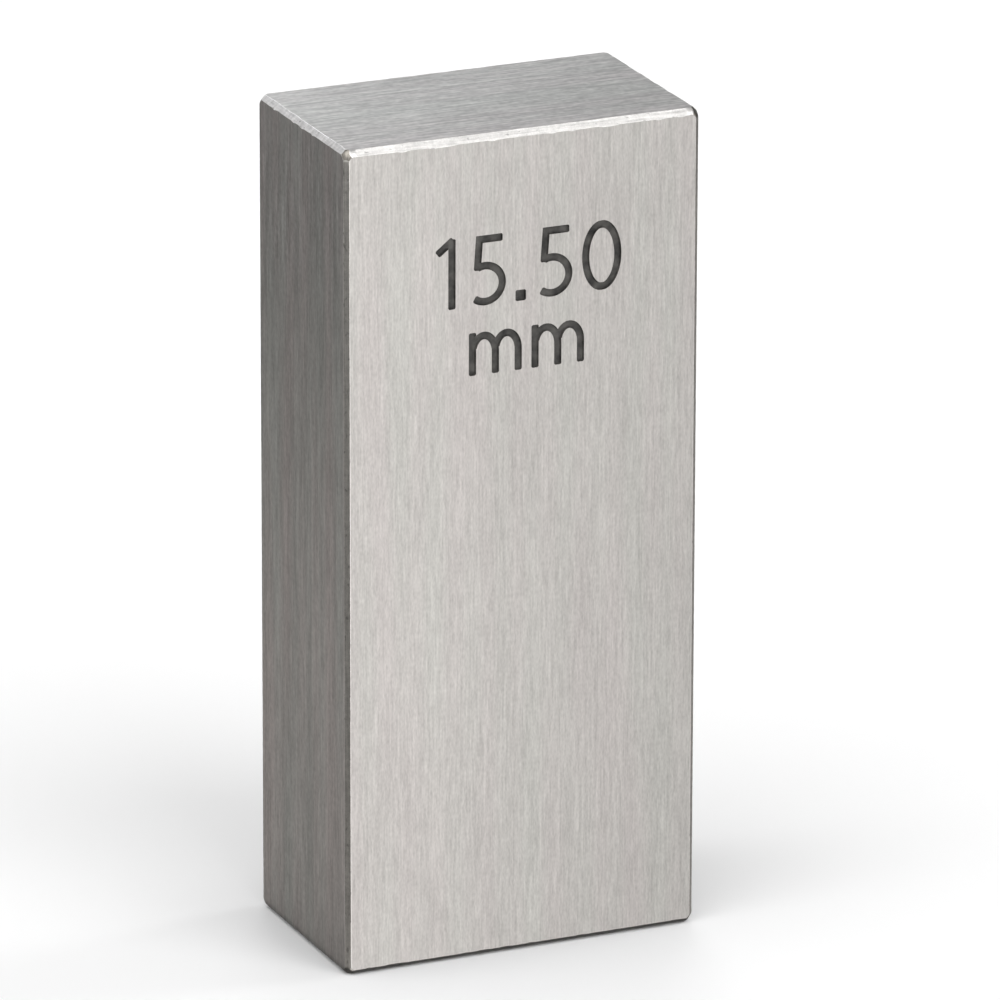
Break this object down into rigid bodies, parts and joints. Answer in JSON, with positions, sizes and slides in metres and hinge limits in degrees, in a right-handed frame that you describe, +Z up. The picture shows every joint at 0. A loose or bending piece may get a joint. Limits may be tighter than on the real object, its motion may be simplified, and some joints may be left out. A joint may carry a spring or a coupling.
{
  "type": "gauge block",
  "caption": "Rectangular hardened steel gauge block with brushed faces and bevelled edges; its opposite parallel measuring faces hold a reference length.",
  "frame": {"origin": "middle of the end face that the block stands on", "axes": "+X along the gauge length, out of the right measuring face; -Y out of the marked front side face; +Z up, along the section's long side"},
  "size_m": [0.0154, 0.009, 0.035],
  "materials": {
    "steel": "fine straight brushed grain, upright on the four tall faces and along the gauge length on the end faces, with brighter stoned bevels"
  },
  "bodies": {
    "root": {"gauge_block": "steel"}
  },
  "joints": []
}
